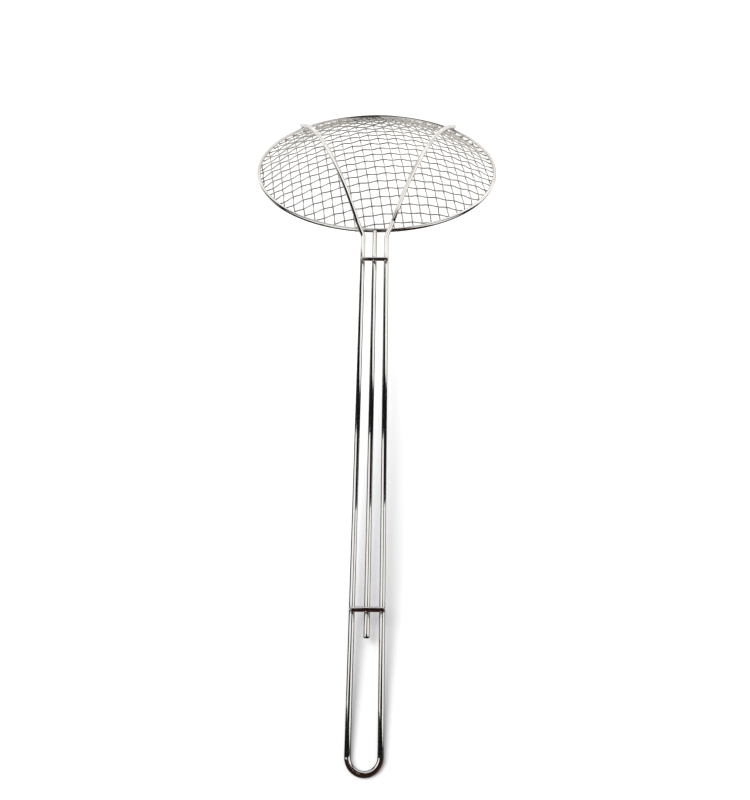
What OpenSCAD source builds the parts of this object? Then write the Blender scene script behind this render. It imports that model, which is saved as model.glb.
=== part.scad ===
// Round wire skimmer basket lying dome up. A domed sheet of woven wires is welded under a wire
// hoop. One long bent wire makes the hanging loop, the two handle rails and the two arms that
// cross the dome. A centre rod and two cross bars stiffen the handle.
// Every piece is shaped in the bowl's own frame, with the hoop flat at Z = 0 and the handle
// towards -Y. It is then laid on the ground, which the mesh's far edge and the loop touch.

/* [Bowl] */
// Outside diameter of the rim hoop
bowl_d = 203.2; // [160:0.2:206]
// Thickness of the hoop wire
hoop_wire_d = 3.2; // [2.6:0.1:4]
// Height of the mesh at the crown of the dome, above the middle of the hoop
dome_h = 27.5; // [18:0.5:32]
// Fullness of the dome: 2 is a parabola, and less is nearer to a cone
dome_power = 1.85; // [1.6:0.05:2.2]

/* [Mesh] */
// Thickness of a mesh wire
mesh_wire_d = 1; // [0.7:0.05:1.3]
// Spacing of the mesh wires
mesh_pitch = 7.5; // [7.4:0.1:14]
// Turn of the weave about the bowl's axis, in degrees
mesh_turn = 8.4; // [-45:0.2:45]
// Shift of the lengthwise wires off the bowl's axis
warp_shift = 0.9; // [-3.5:0.1:3.5]
// Shift of the crosswise wires off the bowl's axis
weft_shift = -2; // [-3.5:0.1:3.5]

/* [Handle] */
// Thickness of the handle wire and of the centre rod
handle_wire_d = 3.5; // [3:0.1:4.5]
// Distance between the middles of the two rails
handle_w = 17.6; // [15:0.2:24]
// Length of the handle from the middle of the hoop to the end of the loop
handle_l = 398; // [360:1:450]
// Angle of the handle to the hoop's plane, in degrees
handle_angle = 14; // [8:0.5:18]
// Length of the centre rod from the middle of the hoop to its free end
rod_l = 323; // [315:1:345]

/* [Cross bars] */
// Thickness of the cross bars
bar_wire_d = 3; // [2.5:0.1:4]
// Length of the cross bars
bar_l = 20.8; // [15:0.2:26]
// Distance of the upper bar from the middle of the hoop, along the handle
upper_bar_at = 36.5; // [20:0.5:80]
// Distance of the lower bar from the middle of the hoop, along the handle
lower_bar_at = 307.5; // [250:0.5:310]

/* [Arms] */
// Angle between the bowl's far point and each arm's tip, seen from the bowl's axis
arm_spread = 43.5; // [30:0.5:55]
// Radius of the bends where a rail turns outwards and then up into an arm
arm_bend_r = 14; // [8:1:18]
// Distance of the outward bend from the middle of the hoop, along the handle
arm_splay_at = 10; // [6:0.5:14]
// Distance of the upward bend past the outward one
arm_rise_after = 15; // [14:0.5:20]
// Length of each arm's tip past the middle of the hoop
arm_tip = 3; // [2:0.5:6]

/* [Hidden] */
$fn = 48;

// Gap kept between wires that are welded where they touch
weld_gap = 0.02;
// Extra height of the arms' crowns over the mesh
arm_clear = 0.3;
// Extra radius of the balls that join the stretches of the handle's wires
joint_swell = 0.04;
// Sides of a mesh wire, and the radius factor that gives them a round wire's area
mesh_sides = 6;
mesh_fill = sqrt(2 * PI / (mesh_sides * sin(360 / mesh_sides)));

hoop_r = hoop_wire_d / 2;
mesh_r = mesh_wire_d / 2;
handle_r = handle_wire_d / 2;
bar_r = bar_wire_d / 2;
ring_r = bowl_d / 2 - hoop_r;

// Crossing mesh wires stand this far above and below the middle of the mesh
crimp = mesh_r + weld_gap / 2;

// The middle of the mesh passes under the hoop, where its raised wires touch the hoop
edge_drop = hoop_r + mesh_r + crimp + weld_gap;
edge_slope = atan(dome_power * (dome_h + edge_drop) / ring_r);
edge_r = ring_r - edge_drop * sin(edge_slope);
edge_z = -edge_drop * cos(edge_slope);

// Each mesh wire keeps its level over the last stretch before its cut end under the hoop
tail_lead = 3 * mesh_wire_d;
mesh_reach = ring_r - hoop_wire_d;

function first_wire(shift) = ceil((-mesh_reach - shift) / mesh_pitch);
function last_wire(shift) = floor((mesh_reach - shift) / mesh_pitch);
function wire_count(shift) = last_wire(shift) - first_wire(shift) + 1;
function wire_at(shift, k) = shift + (first_wire(shift) + k - 1) * mesh_pitch;

warp_n = wire_count(warp_shift);
weft_n = wire_count(weft_shift);

// Height and slope of the middle of the mesh at a distance from the bowl's axis
function dome_z(r) = edge_z + (dome_h - edge_z) * (1 - pow(r / edge_r, dome_power));
function dome_slope(r) = (dome_h - edge_z) * dome_power * pow(r / edge_r, dome_power - 1) / edge_r;

// Point on the mesh over p, lifted square to the dome
function mesh_point(p, lift) =
    let (r = max(norm(p), mesh_r), slope = dome_slope(r), up = lift / sqrt(1 + slope * slope))
    [p.x + up * slope * p.x / r, p.y + up * slope * p.y / r, dome_z(r) + up];

// Middle line of mesh wire k of one set: its ends lie under the hoop, and between them it goes
// over and under the wires of the other set in turn
function weave_path(k, shift, other_shift, over) =
    let (
        at = wire_at(shift, k),
        reach = sqrt(edge_r * edge_r - at * at),
        others = [for (j = [1:wire_count(other_shift)]) if (abs(wire_at(other_shift, j)) < reach) j],
        low = others[0],
        high = others[len(others) - 1]
    )
    concat(
        [[at, -reach, tail_lift(k, low, over, wire_at(other_shift, low) + reach)]],
        [for (j = others) if (reach - abs(wire_at(other_shift, j)) > mesh_wire_d)
            [at, wire_at(other_shift, j), weave_lift(k, j, over)]],
        [[at, reach, tail_lift(k, high, over, reach - wire_at(other_shift, high))]]
    );
function weave_lift(k, j, over) = over * crimp * ((k + j) % 2 == 0 ? 1 : -1);
function tail_lift(k, j, over, lead) = lead < tail_lead ? weave_lift(k, j, over) : crimp;

// The same lines in the bowl's frame: warp wires run along the handle, weft wires across it
function turned(p) = [
    p.x * cos(mesh_turn) - p.y * sin(mesh_turn),
    p.x * sin(mesh_turn) + p.y * cos(mesh_turn)
];
function warp_path(k) =
    [for (q = weave_path(k, warp_shift, weft_shift, 1)) mesh_point(turned([q[0], q[1]]), q[2])];
function weft_path(k) =
    [for (q = weave_path(k, weft_shift, warp_shift, -1)) mesh_point(turned([q[1], q[0]]), q[2])];

// Points of the handle, by distance from the middle of the hoop along the handle
handle_dir = [0, -cos(handle_angle), -sin(handle_angle)];
handle_up = [0, -sin(handle_angle), cos(handle_angle)];
rail_lift = (hoop_r + handle_r + weld_gap) / cos(handle_angle);
function handle_point(x, s) = [x, -ring_r, rail_lift] + s * handle_dir;
function unit(v) = v / norm(v);

// Past the upper bar the rod is set down, so that its end meets the front of the hoop
rod_corner = handle_point(0, upper_bar_at - 2 * bar_wire_d);
rod_foot = [0, -ring_r - hoop_r - 2 * weld_gap, 0];

// Each rail turns outwards in the handle's plane, crosses the hoop and bends up into its arm.
// The arm crosses the dome on one arc in an upright plane, and its crown just clears the mesh.
splay_corner = handle_point(handle_w / 2, arm_splay_at);
arm_foot = [ring_r * sin(arm_spread), ring_r * cos(arm_spread)];
arm_heading = unit([arm_foot.x - splay_corner.x, arm_foot.y - splay_corner.y]);
splay_dir = unit([arm_heading.x, arm_heading.y, arm_heading.y * tan(handle_angle)]);
rise_corner = splay_corner + arm_rise_after * splay_dir;
arm_near = abs(splay_corner.x * arm_heading.y - splay_corner.y * arm_heading.x);
arm_stack = (crimp + mesh_r + handle_r) / cos(atan(dome_slope(arm_near))) + arm_clear;
arm_chord = norm([arm_foot.x - rise_corner.x, arm_foot.y - rise_corner.y]);
arm_slope = 2 * atan(2 * (dome_z(arm_near) + arm_stack - rise_corner.z) / arm_chord);
rise_dir = arm_dir(arm_slope);
arm_start = rise_corner + bend_lead(splay_dir, rise_dir) * rise_dir;
arm_end = [arm_foot.x, arm_foot.y, (hoop_r + handle_r + weld_gap) / cos(arm_slope)];
arm_half_turn = arm_slope - asin((arm_end - arm_start).z / norm(arm_end - arm_start));
arm_r = norm(arm_end - arm_start) / (2 * sin(arm_half_turn));
arm_end_dir = arm_dir(arm_slope - 2 * arm_half_turn);
function arm_dir(slope) = [arm_heading.x * cos(slope), arm_heading.y * cos(slope), sin(slope)];

// Angle between two directions, and how far from a corner a bend between them starts
function turn_between(a, b) = acos(a * b);
function bend_lead(a, b) = arm_bend_r * tan(turn_between(a, b) / 2);

// The ground touches the loop and the lowest wire end of the mesh, as a line touches two circles
loop_start = handle_point(handle_w / 2, handle_l - handle_r - handle_w / 2);
loop_end = handle_point(0, handle_l - handle_r);
mesh_ends = [
    for (k = [1:warp_n]) let (path = warp_path(k)) path[len(path) - 1],
    for (k = [1:weft_n]) each let (path = weft_path(k)) [path[0], path[len(path) - 1]]
];
function ground_angle(q) =
    let (y = q.y - loop_end.y, z = q.z - loop_end.z)
    atan2(z, y) + asin((handle_r - mesh_fill * mesh_r) / norm([y, z]));
lay_tilt = min([for (q = mesh_ends) ground_angle(q)]);
function tilted(p) = [
    p.x,
    p.y * cos(lay_tilt) + p.z * sin(lay_tilt),
    p.z * cos(lay_tilt) - p.y * sin(lay_tilt)
];
lay_near_y = tilted(loop_end).y - handle_r;
lay_far_y = tilted([0, ring_r, 0]).y + hoop_r;
lay_shift = [0, -(lay_near_y + lay_far_y) / 2, handle_r - tilted(loop_end).z];

function two_digits(k) = str(k < 10 ? "0" : "", k);
function warp_name(k) = str("warp_wire_", two_digits(k));
function weft_name(k) = str("weft_wire_", two_digits(k));

// Moves a piece from the bowl's frame to where it lies on the ground
module lay_down() {
    translate(lay_shift) rotate([-lay_tilt, 0, 0]) children();
}

// Moves the origin to p, with the X and Y axes along x and y
module placed(p, x, y) {
    z = cross(x, y);
    multmatrix([[x.x, y.x, z.x, p.x], [x.y, y.y, z.y, p.y], [x.z, y.z, z.z, p.z]]) children();
}

// Straight round wire from a to b
module wire_run(a, b, r) {
    along = unit(b - a);
    side = unit(cross(along, abs(along.x) < 0.9 ? [1, 0, 0] : [0, 1, 0]));
    placed(a, side, cross(along, side)) cylinder(r = r, h = norm(b - a));
}

// Round wire bent from direction a towards direction b, on an arc that starts at p
module wire_arc(p, a, b, bend_r, turn, r) {
    inward = unit(b - (a * b) * a);
    placed(p + bend_r * inward, -inward, a)
        rotate_extrude(angle = turn) translate([bend_r, 0]) circle(r = r);
}

// Round wire of a few sides swept along a woven path
module woven_wire(path) {
    n = len(path);
    r = mesh_r * mesh_fill;
    across = unit(cross([0, 0, 1], path[n - 1] - path[0]));
    rings = [for (i = [0:n - 1])
        let (
            along = unit(path[min(i + 1, n - 1)] - path[max(i - 1, 0)]),
            up = unit(cross(along, across)),
            side = cross(up, along)
        )
        for (a = [0:mesh_sides - 1])
            path[i] + r * (cos(a * 360 / mesh_sides) * side + sin(a * 360 / mesh_sides) * up)];
    walls = [for (i = [0:n - 2], a = [0:mesh_sides - 1])
        let (b = (a + 1) % mesh_sides, low = i * mesh_sides, high = low + mesh_sides)
        [low + a, low + b, high + b, high + a]];
    near_cap = [for (a = [mesh_sides - 1:-1:0]) a];
    far_cap = [for (a = [0:mesh_sides - 1]) (n - 1) * mesh_sides + a];
    polyhedron(rings, concat(walls, [near_cap, far_cap]));
}

// Ball that joins two stretches of a handle wire, a hair thicker than the wire
module wire_joint(p) {
    translate(p) sphere(r = handle_r + joint_swell);
}

// Bend of the handle wire at a corner, from direction a to direction b, with its joints
module wire_bend(corner, a, b) {
    lead = bend_lead(a, b);
    wire_arc(corner - lead * a, a, b, arm_bend_r, turn_between(a, b), handle_r);
    wire_joint(corner - lead * a);
    wire_joint(corner + lead * b);
}

// Right half of the handle wire: rail, two bends, arm and tip
module handle_half() {
    splay_lead = bend_lead(-handle_dir, splay_dir) * -handle_dir;
    wire_run(loop_start, splay_corner - splay_lead, handle_r);
    wire_bend(splay_corner, -handle_dir, splay_dir);
    wire_run(
        splay_corner + norm(splay_lead) * splay_dir,
        rise_corner - bend_lead(splay_dir, rise_dir) * splay_dir, handle_r
    );
    wire_bend(rise_corner, splay_dir, rise_dir);
    wire_arc(arm_start, rise_dir, arm_end_dir, arm_r, 2 * arm_half_turn, handle_r);
    wire_run(arm_end, arm_end + arm_tip * arm_end_dir, handle_r);
    wire_joint(loop_start);
    wire_joint(arm_end);
}

module handle_wire() {
    color("gainsboro") lay_down() {
        handle_half();
        mirror([1, 0, 0]) handle_half();
        wire_arc(loop_start, handle_dir, [-1, 0, 0], handle_w / 2, 180, handle_r);
    }
}

module centre_rod() {
    color("gainsboro") lay_down() {
        wire_run(handle_point(0, rod_l), rod_corner, handle_r);
        wire_joint(rod_corner);
        wire_run(rod_corner, rod_foot, handle_r);
    }
}

// Bar across the handle, on top of the rails and the rod
module crossbar(s) {
    lift = (handle_r + bar_r + weld_gap) * handle_up;
    color("silver") lay_down()
        wire_run(handle_point(-bar_l / 2, s) + lift, handle_point(bar_l / 2, s) + lift, bar_r);
}

module upper_crossbar() {
    crossbar(upper_bar_at);
}

module lower_crossbar() {
    crossbar(lower_bar_at);
}

module rim_hoop() {
    color("gainsboro") lay_down() rotate_extrude() translate([ring_r, 0]) circle(r = hoop_r);
}

module warp_wire(k) {
    color("lightgray") lay_down() woven_wire(warp_path(k));
}

module weft_wire(k) {
    color("lightgray") lay_down() woven_wire(weft_path(k));
}

handle_wire();
centre_rod();
upper_crossbar();
lower_crossbar();
rim_hoop();
for (k = [1:warp_n]) warp_wire(k);
for (k = [1:weft_n]) weft_wire(k);
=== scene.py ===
# %% [markdown]
# A round wire skimmer lies dome up on a white table, with its handle towards the camera.
# It is all wire: a woven dome welded under a hoop, one long wire bent into the hanging loop,
# the rails and the two arms over the dome, a centre rod, and two cross bars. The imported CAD
# part gives the sizes and the places. Its wires are coarse facets, so each of them is made
# anew here as a smooth wire that stands for its CAD node.

import math

import bpy
import numpy as np
from mathutils import Matrix, Vector


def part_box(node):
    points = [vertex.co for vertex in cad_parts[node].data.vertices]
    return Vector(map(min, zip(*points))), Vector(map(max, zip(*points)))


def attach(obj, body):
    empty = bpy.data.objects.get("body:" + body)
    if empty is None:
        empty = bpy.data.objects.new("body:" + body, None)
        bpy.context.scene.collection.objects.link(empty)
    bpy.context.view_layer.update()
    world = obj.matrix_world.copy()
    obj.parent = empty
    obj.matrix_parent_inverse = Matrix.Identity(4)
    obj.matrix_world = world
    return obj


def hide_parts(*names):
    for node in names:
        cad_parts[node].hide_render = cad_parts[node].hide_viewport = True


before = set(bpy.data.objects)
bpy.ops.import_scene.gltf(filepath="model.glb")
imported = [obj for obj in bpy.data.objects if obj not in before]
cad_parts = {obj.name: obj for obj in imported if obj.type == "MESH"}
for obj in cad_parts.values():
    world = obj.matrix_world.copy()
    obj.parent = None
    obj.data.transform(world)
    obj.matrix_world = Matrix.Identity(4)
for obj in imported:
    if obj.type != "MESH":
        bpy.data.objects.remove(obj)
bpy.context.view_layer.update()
scene = bpy.context.scene
print("CAD nodes:", len(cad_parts))

# %% [markdown]
# The real sizes come first, in millimetres, with the names that the CAD source uses. All wires
# are described in the bowl's own frame, where the hoop lies flat at height 0 round the Z axis
# and the handle points along -Y, because there every curve is a plain arc or line.

# %% Sizes of the wires
MM = 0.001
hoop_r, handle_r, bar_r, mesh_r = 1.6, 1.75, 1.5, 0.5
ring_r = 100.0
# Welded wires stand weld_gap apart. The thick wires lose trim from their radius, which keeps them
# inside the box of the CAD part.
weld_gap, trim = 0.02, 0.03
dome_h, dome_power = 27.5, 1.85
mesh_pitch, mesh_turn = 7.5, math.radians(8.4)
warp_shift, weft_shift = 0.9, -2.0
handle_w, handle_l, handle_angle = 17.6, 398.0, math.radians(14)
rod_l = 323.0
bar_l, upper_bar_at, lower_bar_at = 20.8, 36.5, 307.5
arm_spread, arm_bend_r = math.radians(43.5), 14.0
arm_splay_at, arm_rise_after = 10.0, 15.0
arm_tip, arm_clear = 3.0, 0.3
print("bowl, mm across:", 2 * (ring_r + hoop_r), "| mesh pitch, mm:", mesh_pitch)

# %% [markdown]
# On the table the bowl leans, because the loop and the far edge of the mesh touch the ground. One
# matrix, called lay, takes every point from the bowl's frame to the table. Its tilt isn't typed
# in: it is measured from two nodes of the CAD part.

# %% Handle directions and the way from the bowl's frame to the table
handle_dir = Vector((0, -math.cos(handle_angle), -math.sin(handle_angle)))
handle_up = Vector((0, -math.sin(handle_angle), math.cos(handle_angle)))
rail_lift = (hoop_r + handle_r + weld_gap) / math.cos(handle_angle)
bar_lift = (handle_r + bar_r + weld_gap) * handle_up


def handle_point(x, s):
    """Point of the handle's plane, s along the handle from the middle of the hoop."""
    return Vector((x, -ring_r, rail_lift)) + s * handle_dir


def middle(node):
    """Middle of a CAD node's box."""
    low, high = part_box(node)
    return (low + high) / 2


# The hoop and the lower bar have known places in both frames, so they give the tilt
bar_in_bowl = handle_point(0, lower_bar_at) + bar_lift
bar_on_table = middle("lower_crossbar") - middle("rim_hoop")
lay_tilt = math.atan2(bar_in_bowl.z, bar_in_bowl.y) - math.atan2(bar_on_table.z, bar_on_table.y)
lay_shift = middle("rim_hoop")
lay = Matrix.Translation(lay_shift) @ Matrix.Rotation(-lay_tilt, 4, "X") @ Matrix.Scale(MM, 4)
print("tilt of the hoop, degrees:", round(math.degrees(lay_tilt), 3))

# %% [markdown]
# Materials are node trees. One small function adds a node, sets it up and links it, and one
# turns the sRGB hex value of a colour into the linear numbers that shaders use.


# %% Helpers for node trees and colours
def add(tree, kind, feeds=None, **settings):
    """Adds a node. feeds maps an input's name or number to a node, a socket or a value."""
    node = tree.nodes.new(kind)
    for name, value in settings.items():
        setattr(node, name, value)
    shown = [socket for socket in node.inputs if socket.enabled]
    for key, feed in (feeds or {}).items():
        socket = shown[key] if isinstance(key, int) else next(s for s in shown if s.name == key)
        if isinstance(feed, bpy.types.Node):
            feed = next(s for s in feed.outputs if s.enabled)
        if isinstance(feed, bpy.types.NodeSocket):
            tree.links.new(feed, socket)
        else:
            socket.default_value = feed
    return node


def linear(hex_colour):
    """sRGB hex to linear RGBA."""
    parts = [int(hex_colour[i:i + 2], 16) / 255 for i in (1, 3, 5)]
    return (*[c / 12.92 if c <= 0.04045 else ((c + 0.055) / 1.055) ** 2.4 for c in parts], 1)


def new_material(name):
    """New material, with its node tree and its main shader."""
    material = bpy.data.materials.new(name)
    material.use_nodes = True
    return material, material.node_tree, material.node_tree.nodes["Principled BSDF"]


# %% [markdown]
# The thick wires are drawn steel with bright nickel plate. Drawing leaves faint lines along the
# wire, the plate is near white with a warm cast, and it dulls in soft patches about a centimetre
# long. The lines follow the wire, so the pattern reads an attribute that each sweep stores: the
# place round the wire in X and Y, in wire radii, and the length along it in Z, in millimetres.


# %% Nickel plate
# A dull patch is about as wide as the wire's radius. The real draw lines are a few hundredths of
# a millimetre wide. They are drawn five times coarser to show, with nine to the wire's radius.
patch_length, line_length, lines_per_radius = 12.5, 20.0, 9
patch_low, patch_high = 0.3, 0.7
line_strength = 0.35
# Brown of the weld browning; on the mesh wire ends it also paints the shade under the hoop
weld_brown_and_shade = "#5d4a3c"


def nickel_finish(name, bright, dull, line_depth, smooth, rough):
    """Plated wire: patches between two tints, roughness that follows them, and draw lines."""
    material, tree, shader = new_material(name)
    grain = add(tree, "ShaderNodeAttribute", attribute_name="wire_grain")
    patch_scale = (1, 1, 1 / patch_length)
    stretch = add(tree, "ShaderNodeVectorMath", {0: grain.outputs["Vector"], 1: patch_scale},
                  operation="MULTIPLY")
    patches = add(tree, "ShaderNodeTexNoise", {"Vector": stretch, "Scale": 1.0, "Detail": 3.0})
    line_scale = (lines_per_radius, lines_per_radius, 1 / line_length)
    streaks = add(tree, "ShaderNodeVectorMath", {0: grain.outputs["Vector"], 1: line_scale},
                  operation="MULTIPLY")
    lines = add(tree, "ShaderNodeTexNoise", {"Vector": streaks, "Scale": 1.0, "Detail": 2.0})
    tint = add(tree, "ShaderNodeMix", {"Factor": patches.outputs["Fac"], "A": linear(dull),
                                       "B": linear(bright)}, data_type="RGBA")
    # This attribute holds the weld browning, and on the mesh wires also the painted shade under the
    # hoop
    heat = add(tree, "ShaderNodeAttribute", attribute_name="weld_heat_and_shade")
    browned_and_shaded = add(tree, "ShaderNodeMix", {"Factor": heat.outputs["Fac"], "A": tint,
                                          "B": linear(weld_brown_and_shade)}, data_type="RGBA")
    gloss = add(tree, "ShaderNodeMapRange",
                {"Value": patches.outputs["Fac"], "From Min": patch_low, "From Max": patch_high,
                 "To Min": rough, "To Max": smooth})
    relief = add(tree, "ShaderNodeBump", {"Strength": line_strength, "Distance": line_depth * MM,
                                          "Height": lines.outputs["Fac"]})
    shader.inputs["Metallic"].default_value = 1.0
    tree.links.new(next(s for s in browned_and_shaded.outputs if s.enabled), shader.inputs["Base Color"])
    tree.links.new(gloss.outputs["Result"], shader.inputs["Roughness"])
    tree.links.new(relief.outputs["Normal"], shader.inputs["Normal"])
    return material


# Bright nickel gives the eye near-white flanks with thin dark lines where it mirrors dark things
bright_nickel = nickel_finish("Bright nickel plate on drawn steel wire", "#faf8f5", "#f1eeea",
                              line_depth=0.003, smooth=0.04, rough=0.09)
# The thin mesh wire is drawn finer and plated in bulk, which leaves it a little greyer and duller
nickel_mesh = nickel_finish("Nickel plate on woven mesh wire", "#e2e0db", "#cec9c1",
                            line_depth=0.001, smooth=0.06, rough=0.12)
print("materials:", bright_nickel.name, "|", nickel_mesh.name)

# %% [markdown]
# Every thick wire is one circle swept along a path. A Geometry Nodes tree does the sweep: it
# takes a chain of edges, turns it into a curve and runs a round section along it. Near a cut
# end the section shrinks on a quarter circle, which gives the end the slightly broken edge of
# cropped and tumbled wire. The same tree serves the handle, the rod, the bars and the hoop.


# %% Helpers for Geometry Nodes trees
crisp_angle = math.radians(50)


def new_tree(name, sizes, takes_path):
    """Empty tree with float inputs for the sizes, a finish, and a path where it takes one."""
    tree = bpy.data.node_groups.new(name, "GeometryNodeTree")
    tree.is_modifier = True
    if takes_path:
        tree.interface.new_socket("Path", in_out="INPUT", socket_type="NodeSocketGeometry")
    for size in sizes:
        tree.interface.new_socket(size, in_out="INPUT", socket_type="NodeSocketFloat")
    tree.interface.new_socket("Finish", in_out="INPUT", socket_type="NodeSocketMaterial")
    tree.interface.new_socket("Geometry", in_out="OUTPUT", socket_type="NodeSocketGeometry")
    return tree, add(tree, "NodeGroupInput").outputs, add(tree, "NodeGroupOutput")


def sweep_round(tree, curve, sides, radius, scale, finish, out):
    """Sweeps a round section along a curve, stores the wire's grain, and ends the tree."""
    along = add(tree, "GeometryNodeSplineParameter").outputs["Length"]
    run = add(tree, "GeometryNodeStoreNamedAttribute",
              {"Geometry": curve, "Name": "run", "Value": along}, data_type="FLOAT")
    ring = add(tree, "GeometryNodeCurvePrimitiveCircle", {"Resolution": sides, "Radius": 1.0})
    place = add(tree, "GeometryNodeInputPosition")
    marked = add(tree, "GeometryNodeStoreNamedAttribute",
                 {"Geometry": ring, "Name": "place", "Value": place}, data_type="FLOAT_VECTOR")
    width = add(tree, "ShaderNodeMath", {0: radius, 1: scale}, operation="MULTIPLY")
    tube = add(tree, "GeometryNodeCurveToMesh",
               {"Curve": run, "Profile Curve": marked, "Scale": width, "Fill Caps": True})
    read_run = add(tree, "GeometryNodeInputNamedAttribute", {"Name": "run"}, data_type="FLOAT")
    run_mm = add(tree, "ShaderNodeMath", {0: read_run, 1: 1 / MM}, operation="MULTIPLY")
    read_place = add(tree, "GeometryNodeInputNamedAttribute", {"Name": "place"},
                     data_type="FLOAT_VECTOR")
    split = add(tree, "ShaderNodeSeparateXYZ", {0: read_place})
    grain = add(tree, "ShaderNodeCombineXYZ",
                {"X": split.outputs["X"], "Y": split.outputs["Y"], "Z": run_mm})
    grained = add(tree, "GeometryNodeStoreNamedAttribute",
                  {"Geometry": tube, "Name": "wire_grain", "Value": grain},
                  data_type="FLOAT_VECTOR")
    plain = grained
    for spent in ("run", "place"):
        plain = add(tree, "GeometryNodeRemoveAttribute", {"Geometry": plain, "Name": spent})
    soft = add(tree, "GeometryNodeSetShadeSmooth", {"Geometry": plain, "Shade Smooth": True})
    angle = add(tree, "GeometryNodeInputMeshEdgeAngle").outputs["Unsigned Angle"]
    corner = add(tree, "ShaderNodeMath", {0: angle, 1: crisp_angle}, operation="GREATER_THAN")
    crisp = add(tree, "GeometryNodeSetShadeSmooth",
                {"Geometry": soft, "Selection": corner, "Shade Smooth": False}, domain="EDGE")
    whole = add(tree, "GeometryNodeRealizeInstances", {"Geometry": crisp})
    done = add(tree, "GeometryNodeSetMaterial", {"Geometry": whole, "Material": finish})
    tree.links.new(done.outputs["Geometry"], out.inputs["Geometry"])


# %% Geometry Nodes tree for a bent wire
thick_sides = 28
bent, bent_in, bent_out = new_tree("Bent wire", ("Wire radius", "Edge break"), takes_path=True)
path_curve = add(bent, "GeometryNodeMeshToCurve", {"Mesh": bent_in["Path"]})
from_start = add(bent, "GeometryNodeSplineParameter").outputs["Length"]
total = add(bent, "GeometryNodeSplineLength").outputs["Length"]
from_end = add(bent, "ShaderNodeMath", {0: total, 1: from_start}, operation="SUBTRACT")
nearest = add(bent, "ShaderNodeMath", {0: from_start, 1: from_end}, operation="MINIMUM")
# depth is 1 at the cut and 0 past the broken edge, and the section shrinks on a quarter circle
depth = add(bent, "ShaderNodeMapRange", {"Value": nearest, "From Max": bent_in["Edge break"],
                                         "To Min": 1.0, "To Max": 0.0})
squared = add(bent, "ShaderNodeMath", {0: depth, 1: 2.0}, operation="POWER")
rest = add(bent, "ShaderNodeMath", {0: 1.0, 1: squared}, operation="SUBTRACT")
round_off = add(bent, "ShaderNodeMath", {0: rest}, operation="SQRT")
lost = add(bent, "ShaderNodeMath", {0: 1.0, 1: round_off}, operation="SUBTRACT")
share = add(bent, "ShaderNodeMath", {0: bent_in["Edge break"], 1: bent_in["Wire radius"]},
            operation="DIVIDE")
taken = add(bent, "ShaderNodeMath", {0: lost, 1: share}, operation="MULTIPLY")
kept = add(bent, "ShaderNodeMath", {0: 1.0, 1: taken}, operation="SUBTRACT")
sweep_round(bent, path_curve, thick_sides, bent_in["Wire radius"], kept, bent_in["Finish"], bent_out)
print("tree:", bent.name, "with", len(bent.nodes), "nodes")

# %% [markdown]
# A tree on an object is live: it works again whenever something changes. The export wants plain
# meshes, so each piece is grown by its tree once and then settled into the mesh that came out.
# A thick piece starts as a bare chain of edges, which also carries the heat of the welds.


# %% Turn trees into plain pieces
def path_object(name, points, heat, closed):
    """Chain of edges through points of the bowl's frame, laid on the table."""
    mesh = bpy.data.meshes.new(name)
    count = len(points)
    edges = [(i, (i + 1) % count) for i in range(count if closed else count - 1)]
    mesh.from_pydata([lay @ p for p in points], edges, [])
    mesh.attributes.new("weld_heat_and_shade", "FLOAT", "POINT").data.foreach_set("value", heat)
    piece = bpy.data.objects.new(name, mesh)
    scene.collection.objects.link(piece)
    return piece


def grow(piece, tree, sizes, finish):
    """Puts a tree on a piece, with its inputs set by their identifiers."""
    modifier = piece.modifiers.new(tree.name, "NODES")
    modifier.node_group = tree
    for socket in tree.interface.items_tree:
        if socket.in_out == "INPUT" and socket.name in sizes:
            modifier[socket.identifier] = sizes[socket.name]
        if socket.in_out == "INPUT" and socket.name == "Finish":
            modifier[socket.identifier] = finish


def settle(pieces):
    """Replaces each piece's live tree by the plain mesh that it made."""
    graph = bpy.context.evaluated_depsgraph_get()
    made = [bpy.data.meshes.new_from_object(p.evaluated_get(graph), depsgraph=graph) for p in pieces]
    for piece, mesh in zip(pieces, made):
        piece.modifiers.clear()
        piece.data = mesh
        mesh.name = piece.name
    return sum(len(mesh.polygons) for mesh in made)


# %% [markdown]
# The mesh is pressed into a shallow dome, a little nearer to a cone than a parabola is. Its height
# falls with a power of the distance from the bowl's axis, down to the edge that passes under the
# hoop. The arms need that height because they clear the mesh, and the woven wires follow it.

# %% Shape of the dome
crimp = mesh_r + weld_gap / 2
edge_drop = hoop_r + mesh_r + crimp + weld_gap
edge_slope = math.atan(dome_power * (dome_h + edge_drop) / ring_r)
edge_r = ring_r - edge_drop * math.sin(edge_slope)
edge_z = -edge_drop * math.cos(edge_slope)


def dome_z(r):
    """Height of the middle of the mesh at a distance from the bowl's axis."""
    return edge_z + (dome_h - edge_z) * (1 - (r / edge_r) ** dome_power)


def dome_slope(r):
    """Slope of the mesh at a distance from the bowl's axis."""
    return (dome_h - edge_z) * dome_power * (r / edge_r) ** (dome_power - 1) / edge_r


print("edge of the mesh, mm from the axis:", round(edge_r, 2), "| slope:", round(dome_slope(edge_r), 3))

# %% [markdown]
# The handle wire is one piece of wire some 1.2 m long. From the hanging loop each rail runs up
# to the bowl, splays outwards just before the hoop, crosses it, bends up and follows one long
# arc over the dome to the far side, where its end is cut a little past the hoop. The path is
# built for the right half and mirrored, so both arms match.


# %% Bends of the handle wire and arc of an arm
bend_steps = 14


def arc(start, a, b, radius, turn, count):
    """Points on an arc that leaves start along a and turns towards b."""
    inward = (b - a.dot(b) * a).normalized()
    angles = [turn * i / count for i in range(count + 1)]
    return [start + radius * (math.sin(t) * a + (1 - math.cos(t)) * inward) for t in angles]


def bend(corner, a, b, count=bend_steps):
    """Points on the bend of a rail at a corner."""
    turn = math.acos(max(-1.0, min(1.0, a.dot(b))))
    return arc(corner - arm_bend_r * math.tan(turn / 2) * a, a, b, arm_bend_r, turn, count)


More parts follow.
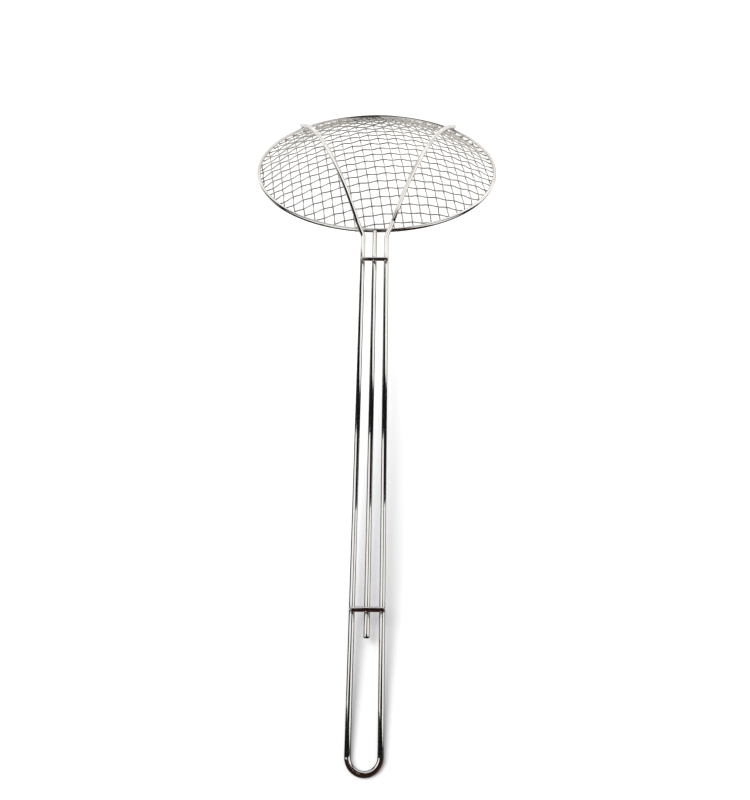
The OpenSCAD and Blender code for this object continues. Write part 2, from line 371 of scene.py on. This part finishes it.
splay_corner = handle_point(handle_w / 2, arm_splay_at)
arm_foot = ring_r * Vector((math.sin(arm_spread), math.cos(arm_spread), 0))
heading = (arm_foot - splay_corner).to_2d().normalized()
splay_dir = Vector((heading.x, heading.y, heading.y * math.tan(handle_angle))).normalized()
rise_corner = splay_corner + arm_rise_after * splay_dir
# The arm passes the bowl's axis at a distance of arm_near, and its arc clears the mesh there. The
# height of an arc over its chord gives the slope at which the arc starts.
arm_near = abs(splay_corner.x * heading.y - splay_corner.y * heading.x)
arm_stack = (crimp + mesh_r + handle_r) / math.cos(math.atan(dome_slope(arm_near))) + arm_clear
arm_chord = (arm_foot - rise_corner).to_2d().length
arm_slope = 2 * math.atan(2 * (dome_z(arm_near) + arm_stack - rise_corner.z) / arm_chord)


def arm_dir(slope):
    """Direction along the right arm where it rises at a slope."""
    return Vector((heading.x * math.cos(slope), heading.y * math.cos(slope), math.sin(slope)))


rise_bend = bend(rise_corner, splay_dir, arm_dir(arm_slope))
arm_start = rise_bend[-1]
arm_end = arm_foot + Vector((0, 0, (hoop_r + handle_r + weld_gap) / math.cos(arm_slope)))
# The arc turns by twice the angle between its start and the straight line to its end
arm_line = arm_end - arm_start
arm_half_turn = arm_slope - math.asin(arm_line.z / arm_line.length)
arm_r = arm_line.length / (2 * math.sin(arm_half_turn))
arm_end_dir = arm_dir(arm_slope - 2 * arm_half_turn)
print("radius of the arms, mm:", round(arm_r, 1))

# %% Path of the handle wire
rail_steps, arm_steps, loop_steps = 160, 60, 48
loop_start = handle_point(handle_w / 2, handle_l - handle_r - handle_w / 2)
splay_bend = bend(splay_corner, -handle_dir, splay_dir)
arm_arc = arc(arm_start, arm_dir(arm_slope), arm_end_dir, arm_r, 2 * arm_half_turn, arm_steps)
right_half = [loop_start.lerp(splay_bend[0], i / rail_steps) for i in range(1, rail_steps)]
right_half += splay_bend + rise_bend + arm_arc[1:]
right_half += [arm_end + arm_tip * arm_end_dir]
loop = arc(loop_start, handle_dir, Vector((-1, 0, 0)), handle_w / 2, math.pi, loop_steps)
left_half = [Vector((-p.x, p.y, p.z)) for p in right_half]
handle_path = right_half[::-1] + loop + left_half
length = sum((b - a).length for a, b in zip(handle_path, handle_path[1:]))
print("handle wire, mm:", round(length), "with", len(handle_path), "points")

# %% [markdown]
# The other thick wires are simpler. The hoop is a circle, each bar is a straight line across the
# rails, and the rod is straight but for a slight bend near the hoop, to which it is welded.
# Straight stretches get points too, so that the browning at the welds can change along them. A
# cut end gets a few close points, on which its rounded edge is drawn.

# %% Paths of the other thick wires
cut_angles = (0, 18, 36, 54, 72, 90)
hoop_steps, rod_steps, rod_bend_steps, rod_foot_steps, bar_steps = 240, 150, 4, 14, 12


def broken_ends(points, edge):
    """Adds the points near both ends that a rounded cut edge needs."""
    steps = [edge * (1 - math.cos(math.radians(a))) for a in cut_angles]
    first = (points[1] - points[0]).normalized()
    last = (points[-2] - points[-1]).normalized()
    return ([points[0] + d * first for d in steps] + points[1:-1]
            + [points[-1] + d * last for d in reversed(steps)])


def straight(a, b, count):
    """Points on a straight line, both ends included."""
    return [a.lerp(b, i / count) for i in range(count + 1)]


hoop_path = [Vector((ring_r * math.cos(t), ring_r * math.sin(t), 0))
             for t in np.linspace(0, 2 * math.pi, hoop_steps, endpoint=False)]
rod_corner = handle_point(0, upper_bar_at - 4 * bar_r)
rod_foot = Vector((0, -ring_r - hoop_r - 2 * weld_gap, 0))
rod_bend = bend(rod_corner, -handle_dir, (rod_foot - rod_corner).normalized(), rod_bend_steps)
rod_path = (straight(handle_point(0, rod_l), rod_bend[0], rod_steps)[:-1] + rod_bend
            + straight(rod_bend[-1], rod_foot, rod_foot_steps)[1:])
half_bar = Vector((bar_l / 2, 0, 0))
bar_paths = [straight(handle_point(0, s) + bar_lift - half_bar,
                      handle_point(0, s) + bar_lift + half_bar, bar_steps)
             for s in (upper_bar_at, lower_bar_at)]
print("points of the hoop, the rod and a bar:", len(hoop_path), len(rod_path), len(bar_paths[0]))

# %% [markdown]
# The wires are resistance welded where they cross. The heat browns the plate a little round each
# weld, so every path carries the share of browning at each of its points.


# %% Weld heat and the five thick pieces
heat_most, heat_reach = 0.3, 9.0


def heat_near(points, welds):
    """Browning at each point: most at a weld, and none past the reach of its heat."""
    nearest = [min((p - weld).length for weld in welds) for p in points]
    return [heat_most * max(0.0, 1 - d / heat_reach) ** 2 for d in nearest]


rail_x = (-handle_w / 2, 0, handle_w / 2)
bar_welds = [handle_point(x, s) + bar_lift / 2 for s in (upper_bar_at, lower_bar_at) for x in rail_x]
arm_welds = (splay_corner + arm_splay_at * splay_dir, arm_end)
hoop_welds = [rod_foot] + [Vector((side * p.x, p.y, p.z)) for side in (-1, 1) for p in arm_welds]
welds = bar_welds + hoop_welds

# Piece, CAD node, path, radius of the wire, and radius of its broken cut edge, 0 for a closed ring
thick_wires = (
    ("bent_handle_wire", "handle_wire", handle_path, handle_r, 0.5),
    ("middle_rod", "centre_rod", rod_path, handle_r, 0.35),
    ("bar_near_bowl", "upper_crossbar", bar_paths[0], bar_r, 0.9),
    ("bar_near_loop", "lower_crossbar", bar_paths[1], bar_r, 0.9),
    ("hoop_wire", "rim_hoop", hoop_path, hoop_r, 0.0),
)
thick_pieces = []
thick_nodes = []
for name, node, points, radius, edge in thick_wires:
    points = broken_ends(points, edge) if edge else points
    piece = path_object(name, points, heat_near(points, welds), closed=not edge)
    grow(piece, bent, {"Wire radius": (radius - trim) * MM, "Edge break": edge * MM}, bright_nickel)
    thick_pieces.append(piece)
    thick_nodes.append(node)
print("thick wires:", len(thick_pieces), "pieces,", settle(thick_pieces), "faces")

# %% [markdown]
# The dome is woven from two sets of thin wires, 7.5 mm apart, that pass over and under each
# other in turn. A wire's shape follows a rule: its place in the weave gives a line across the
# bowl, the dome's height at each point lifts it, and a wave with one half turn for each crossing
# moves it above and below. So one tree makes all the wires, from numbers alone. Wires across
# the handle are the same wires turned by a quarter.

# %% Woven wire tree: a line that waves
weave_sizes = ("Offset", "Reach", "First crossing", "Last crossing", "First level", "Last level",
               "Near end level", "Far end level", "Pitch", "Steps", "Turn", "Crown height",
               "Edge height", "Edge radius", "Fullness", "Wire radius", "Lay tilt",
               "Lay shift Y", "Lay shift Z")
woven, wv, woven_out = new_tree("Woven wire", weave_sizes, takes_path=False)
near_reach = add(woven, "ShaderNodeMath", {0: wv["Reach"], 1: -1.0}, operation="MULTIPLY")
near_point = add(woven, "ShaderNodeCombineXYZ", {"X": wv["Offset"], "Y": near_reach})
far_point = add(woven, "ShaderNodeCombineXYZ", {"X": wv["Offset"], "Y": wv["Reach"]})
line = add(woven, "GeometryNodeCurvePrimitiveLine", {"Start": near_point, "End": far_point})
fine = add(woven, "GeometryNodeResampleCurve", {"Curve": line, "Count": wv["Steps"]})
spot = add(woven, "GeometryNodeInputPosition")
along = add(woven, "ShaderNodeSeparateXYZ", {0: spot}).outputs["Y"]
# Wave over and under the other set, from the first crossing on
since = add(woven, "ShaderNodeMath", {0: along, 1: wv["First crossing"]}, operation="SUBTRACT")
turns = add(woven, "ShaderNodeMath", {0: since, 1: wv["Pitch"]}, operation="DIVIDE")
phase = add(woven, "ShaderNodeMath", {0: turns, 1: math.pi}, operation="MULTIPLY")
swing = add(woven, "ShaderNodeMath", {0: phase}, operation="COSINE")
wave = add(woven, "ShaderNodeMath", {0: swing, 1: wv["First level"]}, operation="MULTIPLY")
# Past its first and last crossings the wire eases to the level of its cut end
near_ease = add(woven, "ShaderNodeMapRange",
                {"Value": along, "From Min": wv["First crossing"], "From Max": near_reach,
                 "To Min": wv["First level"], "To Max": wv["Near end level"]},
                interpolation_type="SMOOTHSTEP")
far_ease = add(woven, "ShaderNodeMapRange",
               {"Value": along, "From Min": wv["Last crossing"], "From Max": wv["Reach"],
                "To Min": wv["Last level"], "To Max": wv["Far end level"]},
               interpolation_type="SMOOTHSTEP")
is_near = add(woven, "ShaderNodeMath", {0: along, 1: wv["First crossing"]}, operation="LESS_THAN")
is_far = add(woven, "ShaderNodeMath", {0: along, 1: wv["Last crossing"]}, operation="GREATER_THAN")
inner = add(woven, "GeometryNodeSwitch", {"Switch": is_near, "False": wave, "True": near_ease},
            input_type="FLOAT")
lift = add(woven, "GeometryNodeSwitch", {"Switch": is_far, "False": inner, "True": far_ease},
           input_type="FLOAT")
print("inputs of the weave:", len(weave_sizes))

# %% [markdown]
# The wave stands square to the dome, so a crimp near the rim leans outwards with the mesh there.
# The height and the slope of the dome below each point come from the same formula as before,
# now written as nodes.

# %% Woven wire tree: lifted onto the dome
flat_r = add(woven, "ShaderNodeVectorMath", {0: spot}, operation="LENGTH").outputs["Value"]
r = add(woven, "ShaderNodeMath", {0: flat_r, 1: wv["Wire radius"]}, operation="MAXIMUM")
ratio = add(woven, "ShaderNodeMath", {0: r, 1: wv["Edge radius"]}, operation="DIVIDE")
fall = add(woven, "ShaderNodeMath", {0: ratio, 1: wv["Fullness"]}, operation="POWER")
rise = add(woven, "ShaderNodeMath", {0: wv["Crown height"], 1: wv["Edge height"]},
           operation="SUBTRACT")
fallen = add(woven, "ShaderNodeMath", {0: rise, 1: fall}, operation="MULTIPLY")
height = add(woven, "ShaderNodeMath", {0: wv["Crown height"], 1: fallen}, operation="SUBTRACT")
steep = add(woven, "ShaderNodeMath", {0: fallen, 1: wv["Fullness"]}, operation="MULTIPLY")
slope = add(woven, "ShaderNodeMath", {0: steep, 1: r}, operation="DIVIDE")
slope_2 = add(woven, "ShaderNodeMath", {0: slope, 1: slope, 2: 1.0}, operation="MULTIPLY_ADD")
hypotenuse = add(woven, "ShaderNodeMath", {0: slope_2}, operation="SQRT")
up = add(woven, "ShaderNodeMath", {0: lift, 1: hypotenuse}, operation="DIVIDE")
out_by = add(woven, "ShaderNodeMath", {0: up, 1: slope}, operation="MULTIPLY")
out_share = add(woven, "ShaderNodeMath", {0: out_by, 1: r}, operation="DIVIDE")
widen = add(woven, "ShaderNodeMath", {0: out_share, 1: 1.0}, operation="ADD")
spread = add(woven, "ShaderNodeVectorMath", {0: spot, "Scale": widen}, operation="SCALE")
top = add(woven, "ShaderNodeMath", {0: height, 1: up}, operation="ADD")
raised = add(woven, "ShaderNodeCombineXYZ", {"Z": top})
woven_spot = add(woven, "ShaderNodeVectorMath", {0: spread, 1: raised}, operation="ADD")
print("nodes so far:", len(woven.nodes))

# %% [markdown]
# The mesh is welded under the hoop. The last millimetres of each wire are painted dark brown, far
# darker than the browning on the thick wires: painted shade where the wire runs under the hoop,
# with some weld browning. This painted shade is stored before the wire is lifted, while each point
# still knows its distance from the axis. Then the wire is turned to its set's direction, laid on
# the table and swept. Eight sides are enough for a wire one millimetre thick.

# %% Woven wire tree: painted shade at the ends, laid and swept
# The wire's end is painted dark: shade under the hoop, with some weld browning
end_shade_from, end_shade_full, end_shade_most = 0.965, 0.985, 0.85
mesh_sides = 8
# Painted shade towards the wire's end, where it runs under the hoop
end_shade = add(woven, "ShaderNodeMapRange", {"Value": ratio, "From Min": end_shade_from,
                                             "From Max": end_shade_full, "To Max": end_shade_most})
end_shaded = add(woven, "GeometryNodeStoreNamedAttribute",
             {"Geometry": fine, "Name": "weld_heat_and_shade", "Value": end_shade}, data_type="FLOAT")
shaped = add(woven, "GeometryNodeSetPosition", {"Geometry": end_shaded, "Position": woven_spot})
quarter = add(woven, "ShaderNodeCombineXYZ", {"Z": wv["Turn"]})
turned = add(woven, "GeometryNodeTransform", {"Geometry": shaped, "Rotation": quarter})
tilt = add(woven, "ShaderNodeCombineXYZ", {"X": wv["Lay tilt"]})
shift = add(woven, "ShaderNodeCombineXYZ", {"Y": wv["Lay shift Y"], "Z": wv["Lay shift Z"]})
laid = add(woven, "GeometryNodeTransform",
           {"Geometry": turned, "Translation": shift, "Rotation": tilt})
sweep_round(woven, laid, mesh_sides, wv["Wire radius"], 1.0, wv["Finish"], woven_out)
print("tree:", woven.name, "with", len(woven.nodes), "nodes")

# %% [markdown]
# Each set keeps its own count. A wire starts and ends under the hoop, and its end is raised so
# that it touches the hoop from below, unless the last crossing is so close to the end that the
# wire stays level from there.

# %% Places and sizes of the woven wires
# No wire lies farther out than mesh_reach, and an end shorter than tail_lead stays level
mesh_reach = ring_r - 2 * hoop_r
tail_lead = 6 * mesh_r
steps_per_pitch = 8


def wire_places(shift):
    """Offsets of one set's wires from the bowl's axis."""
    first = math.ceil((-mesh_reach - shift) / mesh_pitch)
    last = math.floor((mesh_reach - shift) / mesh_pitch)
    return [shift + k * mesh_pitch for k in range(first, last + 1)]


def woven_sizes(k, at, others, over, turn, mirror):
    """Inputs of the tree for wire k at an offset, woven through the other set's offsets."""
    reach = math.sqrt(edge_r ** 2 - at ** 2)
    crossed = [(j, t) for j, t in enumerate(others, 1) if abs(t) < reach]
    # A wire changes sides from crossing to crossing, and so does the next wire of its set
    levels = [over * crimp * (1 if (k + j) % 2 == 0 else -1) for j, _ in crossed]
    first, last = crossed[0][1], crossed[-1][1]
    near = levels[0] if first + reach < tail_lead else crimp
    far = levels[-1] if reach - last < tail_lead else crimp
    in_mm = {"Offset": mirror * at, "Reach": reach, "First crossing": first, "Last crossing": last,
             "First level": levels[0], "Last level": levels[-1], "Near end level": near,
             "Far end level": far, "Pitch": mesh_pitch, "Crown height": dome_h,
             "Edge height": edge_z, "Edge radius": edge_r, "Wire radius": mesh_r}
    sizes = {name: value * MM for name, value in in_mm.items()}
    sizes.update({"Steps": round(2 * reach / mesh_pitch * steps_per_pitch) + 1, "Turn": turn,
                  "Fullness": dome_power, "Lay tilt": -lay_tilt, "Lay shift Y": lay_shift.y,
                  "Lay shift Z": lay_shift.z})
    return sizes


warp_places, weft_places = wire_places(warp_shift), wire_places(weft_shift)
print("wires along and across:", len(warp_places), len(weft_places))

# %% The woven wires
# Piece, CAD node, own offsets, the other set's offsets, level at the first crossing, turn, mirror
sets = (
    ("lengthwise_wire", "warp_wire", warp_places, weft_places, 1, mesh_turn, 1),
    ("crosswise_wire", "weft_wire", weft_places, warp_places, -1, mesh_turn - math.pi / 2, -1),
)
mesh_pieces = []
mesh_nodes = []
for name, node, places, others, over, turn, mirror in sets:
    for k, at in enumerate(places, 1):
        piece = bpy.data.objects.new(f"{name}_{k:02d}", bpy.data.meshes.new(name))
        scene.collection.objects.link(piece)
        grow(piece, woven, woven_sizes(k, at, others, over, turn, mirror), nickel_mesh)
        mesh_pieces.append(piece)
        mesh_nodes.append(f"{node}_{k:02d}")
print("woven wires:", len(mesh_pieces), "pieces,", settle(mesh_pieces), "faces")

# %% [markdown]
# Each piece rides on the part's one body and stands for its CAD node, which is hidden.

# %% Tie the pieces to the part
for node, piece in zip(thick_nodes, thick_pieces):
    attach(piece, "root")
    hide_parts(node)
for node, piece in zip(mesh_nodes, mesh_pieces):
    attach(piece, "root")
    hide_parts(node)
print("pieces tied:", len(thick_pieces) + len(mesh_pieces))

# %% [markdown]
# The photograph was taken from in front of the loop, looking down at the bowl. The camera's
# place and its angle of view were fitted to the outlines of the hoop, the rails and the mesh.

# %% Camera
camera_at = Vector((8.8, -439.4, 490.6)) * MM
camera_aim = Vector((2.1, -42.4, 0)) * MM
camera_roll = math.radians(0.12)
focal_px, frame_height_px = 900, 800

camera_data = bpy.data.cameras.new("photo_camera")
camera_data.sensor_width = 36
camera_data.lens = camera_data.sensor_width * focal_px / frame_height_px
camera_data.clip_start = 0.01
camera = bpy.data.objects.new("photo_camera", camera_data)
scene.collection.objects.link(camera)
looking = (camera_aim - camera_at).to_track_quat("-Z", "Y").to_matrix().to_4x4()
camera.matrix_world = Matrix.Translation(camera_at) @ looking @ Matrix.Rotation(-camera_roll, 4, "Z")
scene.camera = camera
print("lens, mm:", camera_data.lens)

# %% [markdown]
# What stands round the part belongs to the studio. The table and the room look white, to the eye
# and in the metal, without more light on the part. A few nodes tell the rays that show a thing
# from the rays that only light something.


# %% Helpers for the studio
def stage_object(name, points, faces, material):
    """Plain mesh that belongs to the studio and not to the part."""
    mesh = bpy.data.meshes.new(name)
    mesh.from_pydata(points, [], faces)
    mesh.materials.append(material)
    thing = bpy.data.objects.new(name, mesh)
    scene.collection.objects.link(thing)
    return thing


def shown_rays(tree):
    """1 for rays that show a thing directly, in a mirror or through glass."""
    light_path = add(tree, "ShaderNodeLightPath").outputs
    either = add(tree, "ShaderNodeMath", {0: light_path["Is Camera Ray"],
                                          1: light_path["Is Glossy Ray"]}, operation="MAXIMUM")
    return add(tree, "ShaderNodeMath", {0: either, 1: light_path["Is Transmission Ray"]},
               operation="MAXIMUM")


def level_square(half, z):
    """Corners of a level square round the middle of the part."""
    return [(-half, -half, z), (half, -half, z), (half, half, z), (-half, half, z)]


# %% [markdown]
# The ground is a plain white table. Some of its white is added for the rays that show it, so it
# comes out white and still keeps the soft shadow. More is added towards the bowl, where the
# photograph's shadow washes out.

# %% White table
# White is added from wash_from, near the loop, to wash_to, near the bowl
wash_from, wash_to, least_white, most_white = -0.19, 0.01, 0.1, 0.33
half_table = 4.0
table_white, table_tree, table_shader = new_material("Matt white table")
table_shader.inputs["Base Color"].default_value = linear("#f4f4f4")
table_shader.inputs["Roughness"].default_value = 0.9
table_shader.inputs["Specular IOR Level"].default_value = 0.0
table_shader.inputs["Emission Color"].default_value = (1, 1, 1, 1)
table_spot = add(table_tree, "ShaderNodeTexCoord").outputs["Object"]
table_y = add(table_tree, "ShaderNodeSeparateXYZ", {0: table_spot}).outputs["Y"]
# The white that grows towards the bowl is painted light: the table glows brighter there and washes the
# shadow out
added_white = add(table_tree, "ShaderNodeMapRange",
                  {"Value": table_y, "From Min": wash_from, "From Max": wash_to,
                   "To Min": least_white, "To Max": most_white})
table_lift = add(table_tree, "ShaderNodeMath", {0: shown_rays(table_tree), 1: added_white},
                 operation="MULTIPLY")
table_tree.links.new(table_lift.outputs["Value"], table_shader.inputs["Emission Strength"])
stage_object("white_table", level_square(half_table, 0), [(0, 1, 2, 3)], table_white)
print("table, m across:", 2 * half_table)

# %% [markdown]
# Bright metal shows what stands round it, so half of its look is its room. This room is plain
# white. It is full white to the rays that show it and half as strong to those that light the
# table, so the metal and the background are white at a modest level of light.

# %% White room
world = bpy.data.worlds.new("White room")
world.use_nodes = True
room = world.node_tree
sky = room.nodes["Background"]
room_light = 0.5
brightness = add(room, "ShaderNodeMapRange", {"Value": shown_rays(room), "To Min": room_light,
                                              "To Max": 1.0})
sky.inputs["Color"].default_value = (1, 1, 1, 1)
room.links.new(brightness.outputs["Result"], sky.inputs["Strength"])
scene.world = world
print("light of the room:", room_light)

# %% [markdown]
# The dark lines on the photograph's wires tell what stood in the white: a slanting dark frame and
# two seams over the handle, and a brown room in front. On a straight wire, a thing that arches
# over it at a constant distance shows as a band straight across it, so these are bent cards on
# one arch over the handle. Other cards stand where single wires show something: a dark one
# behind the far rim, pale ones at both sides and over the right arm, which give the hoop and the
# arms their cream tint, and a brown one round the loop. Only the metal sees the cards, and the
# light passes through them.

# %% Paper and shapes of the cards
arch_r = 0.42
card_steps = 24


def plain_paper(name, colour):
    """Paper that stays at its own colour in any light."""
    material, _, shader = new_material(name)
    shader.inputs["Base Color"].default_value = (0, 0, 0, 1)
    shader.inputs["Specular IOR Level"].default_value = 0.0
    shader.inputs["Emission Color"].default_value = linear(colour)
    shader.inputs["Emission Strength"].default_value = 1.0
    return material


card_black = plain_paper("Black card", "#171716")
card_brown = plain_paper("Brown card", "#2f1c14")
card_pale = plain_paper("Pale card", "#dcd5ce")
cards = []


def hidden_card(name, points, faces, material):
    """Card that only mirrors see."""
    card = stage_object(name, points, faces, material)
    cards.append(card)
    card.visible_camera = False
    card.visible_diffuse = False
    card.visible_transmission = False
    card.visible_shadow = False


def strip_card(name, rungs, material):
    """Bent card between two edges, given as pairs of points."""
    points = [point for rung in rungs for point in rung]
    faces = [(2 * i, 2 * i + 1, 2 * i + 3, 2 * i + 2) for i in range(len(rungs) - 1)]
    hidden_card(name, points, faces, material)


def arch_card(name, rows, material):
    """Card on the arch, from rows of an angle and the Y of the card's front and back edges there.

    Angle 0 is level on the right, 90 is overhead and 180 is level on the left."""
    angles, *edges = zip(*rows)
    rungs = []
    for angle in np.linspace(angles[0], angles[-1], card_steps + 1):
        x = arch_r * math.cos(math.radians(angle))
        z = arch_r * math.sin(math.radians(angle))
        rungs.append([(x, np.interp(angle, angles, edge), z) for edge in edges])
    strip_card(name, rungs, material)


print("papers:", card_black.name, "|", card_brown.name, "|", card_pale.name)

# %% Cards on the arch
arch_card("frame_card", ((0, 0.08, 0.235), (17, 0.06, 0.22), (41, 0.04, 0.2), (64, 0.023, 0.19),
                         (78, 0.019, 0.2), (93, 0.018, 0.255), (104, 0.11, 0.335),
                         (112, 0.115, 0.372), (120, 0.119, 0.378), (135, 0.129, 0.393),
                         (147, 0.138, 0.41), (160, 0.15, 0.435), (180, 0.17, 0.48)), card_black)
arch_card("far_seam_card", ((62, -0.1, 0.02), (92, -0.1, 0.02)), card_black)
seam_front = -0.235
arch_card("near_seam_card", ((54, seam_front, -0.18), (60, seam_front, -0.16),
                             (66, seam_front, -0.083), (95, seam_front, -0.083),
                             (102, seam_front, -0.115), (110, seam_front, -0.14),
                             (126, seam_front, -0.175)), card_black)
arch_card("front_card", ((0, -0.36, -0.19), (25, -0.3, -0.2), (40, -0.27, -0.2), (60, -0.25, -0.2),
                         (120, -0.25, -0.2), (147, -0.25, -0.175), (180, -0.25, -0.15)), card_black)
arch_card("low_left_card", ((162, -0.15, 0.17), (180, -0.15, 0.17)), card_black)
room_front, room_back = -1.2, -0.25
for k, stripe in enumerate(((0, 49), (50, 96), (97, 112))):
    arch_card(f"room_card_{k}", [(angle, room_front, room_back) for angle in stripe], card_brown)
side_back = 1.6
arch_card("right_side_card", ((2, 0.5, side_back), (52, 0.85, side_back)), card_pale)
arch_card("left_side_card", ((122, 0.8, side_back), (178, 0.7, side_back)), card_pale)
print("cards on the arch:", len(cards))

# %% Cards for single wires
strip_card("front_wall_card", [[(x, room_front, 0), (x, room_front, arch_r)] for x in (-0.05, 1.3)],
           card_brown)
back_z = 0.125
strip_card("back_card", [[(x, 0.25, back_z), (x, 0.9, back_z)] for x in (-0.014, 0.012)], card_black)
arm_card_z = 0.07
strip_card("arm_card", [[(0.01, 0.112, arm_card_z), (0.034, 0.112, arm_card_z)],
                        [(0.033, 0.2, arm_card_z), (0.058, 0.2, arm_card_z)]], card_pale)
loop_y = (lay @ loop_start).y
loop_card_r, loop_card_low, loop_card_top = 0.033, 0.0005, 0.08
loop_turns = np.linspace(math.pi, 2 * math.pi, card_steps + 1)
strip_card("loop_card", [[(loop_card_r * math.cos(t), loop_y + loop_card_r * math.sin(t), z)
                          for z in (loop_card_low, loop_card_top)] for t in loop_turns], card_brown)
print("cards in all:", len(cards))

# %% [markdown]
# The lowest flanks of the wires mirror the table as thin outlines. These are black along the
# handle, so to the metal the table is dark there, most of all on the left. It is grey under the
# bowl and nearly white behind it. Round dark spots on the right, and one behind the bowl, give
# the wires their black edges there; the one behind the bowl is painted contact shade where the far
# rim rests on the table. One card just above the table does all this, with its grey worked out
# from the place on the card.

# %% Greys of the card on the table
card_lift, half_card = 0.0002, 0.6
dark_side, pale_side, under_bowl, behind_bowl = 0.02, 0.15, 0.35, 0.85
# Spans over which one grey gives way to the next: across the handle, outwards under the hoop,
# along the handle beside the bowl, and along it under the bowl
side_span, hoop_span = (0.008, 0.022), (0.088, 0.097)
beside_span, under_span = (0.14, 0.17), (0.2, 0.26)
table_card, grey_tree, grey_shader = new_material("Shaded table card")
card_spot = add(grey_tree, "ShaderNodeTexCoord").outputs["Object"]
card_xyz = add(grey_tree, "ShaderNodeSeparateXYZ", {0: card_spot}).outputs
side_grey = add(grey_tree, "ShaderNodeMapRange",
                {"Value": card_xyz["X"], "From Min": side_span[0], "From Max": side_span[1],
                 "To Min": dark_side, "To Max": pale_side})
bowl_middle = (lay_shift.x, lay_shift.y, card_lift)
from_bowl = add(grey_tree, "ShaderNodeVectorMath", {0: card_spot, 1: bowl_middle},
                operation="DISTANCE").outputs["Value"]
off_bowl = add(grey_tree, "ShaderNodeMapRange", {"Value": from_bowl, "From Min": hoop_span[0],
                                                 "From Max": hoop_span[1]})
before_bowl = add(grey_tree, "ShaderNodeMapRange",
                  {"Value": card_xyz["Y"], "From Min": beside_span[0], "From Max": beside_span[1],
                   "To Min": 1.0, "To Max": 0.0})
open_grey = add(grey_tree, "ShaderNodeMix", {"Factor": before_bowl, "A": behind_bowl,
                                             "B": side_grey})
under_grey = add(grey_tree, "ShaderNodeMapRange",
                 {"Value": card_xyz["Y"], "From Min": under_span[0], "From Max": under_span[1],
                  "To Min": under_bowl, "To Max": behind_bowl})
card_grey = add(grey_tree, "ShaderNodeMix", {"Factor": off_bowl, "A": under_grey, "B": open_grey})
print("greys of the table card:", dark_side, pale_side, under_bowl, behind_bowl)

# %% Dark spots, and the card itself
# X, Y and radius of each spot
# The last spot is painted contact shade behind the far rim, where it rests on the table
dark_spots = ((0.048, 0.08, 0.032), (0.085, 0.0, 0.06), (0.17, -0.14, 0.1), (0.17, 0.135, 0.05),
              (0.3, 0.15, 0.13), (0.06, 0.14, 0.03), (0.0, 0.312, 0.026))
spot_blur, spot_light = 0.01, 0.05
warm_white = (1, 0.98, 0.96, 1)
for x, y, size in dark_spots:
    away = add(grey_tree, "ShaderNodeVectorMath", {0: card_spot, 1: (x, y, card_lift)},
               operation="DISTANCE").outputs["Value"]
    lit = add(grey_tree, "ShaderNodeMapRange", {"Value": away, "From Min": size,
                                                "From Max": size + spot_blur, "To Min": spot_light})
    card_grey = add(grey_tree, "ShaderNodeMath", {0: card_grey, 1: lit}, operation="MULTIPLY")
grey_shader.inputs["Base Color"].default_value = (0, 0, 0, 1)
grey_shader.inputs["Specular IOR Level"].default_value = 0.0
grey_shader.inputs["Emission Color"].default_value = warm_white
grey_tree.links.new(card_grey.outputs["Value"], grey_shader.inputs["Emission Strength"])
hidden_card("table_card", level_square(half_card, card_lift), [(0, 1, 2, 3)], table_card)
print("spots on the table card:", len(dark_spots))

# %% [markdown]
# The key light is a broad soft light from above, on the left. A sun lamp with a wide angle gives
# the same light all over the table, so the table stays evenly white. The dark lines on the metal
# would fill up if the lamp showed in it, so it doesn't. The mesh is so open that its shadow is
# too faint to see on the bright table, so it casts none.

# %% Key light
key_from = Vector((-0.62, -0.05, 1.15))
key_degrees, key_strength = 40, 2.15
key_data = bpy.data.lights.new("key_softbox", "SUN")
key_data.angle = math.radians(key_degrees)
key_data.energy = key_strength
key = bpy.data.objects.new("key_softbox", key_data)
key.visible_glossy = False
scene.collection.objects.link(key)
key.matrix_world = (-key_from).to_track_quat("-Z", "Y").to_matrix().to_4x4()
for piece in mesh_pieces:
    piece.visible_shadow = False
print("key light:", key_degrees, "degrees wide, strength", key_strength)

# %% [markdown]
# The Standard view transform shows colours as they are written.

# %% View settings
scene.view_settings.view_transform = "Standard"
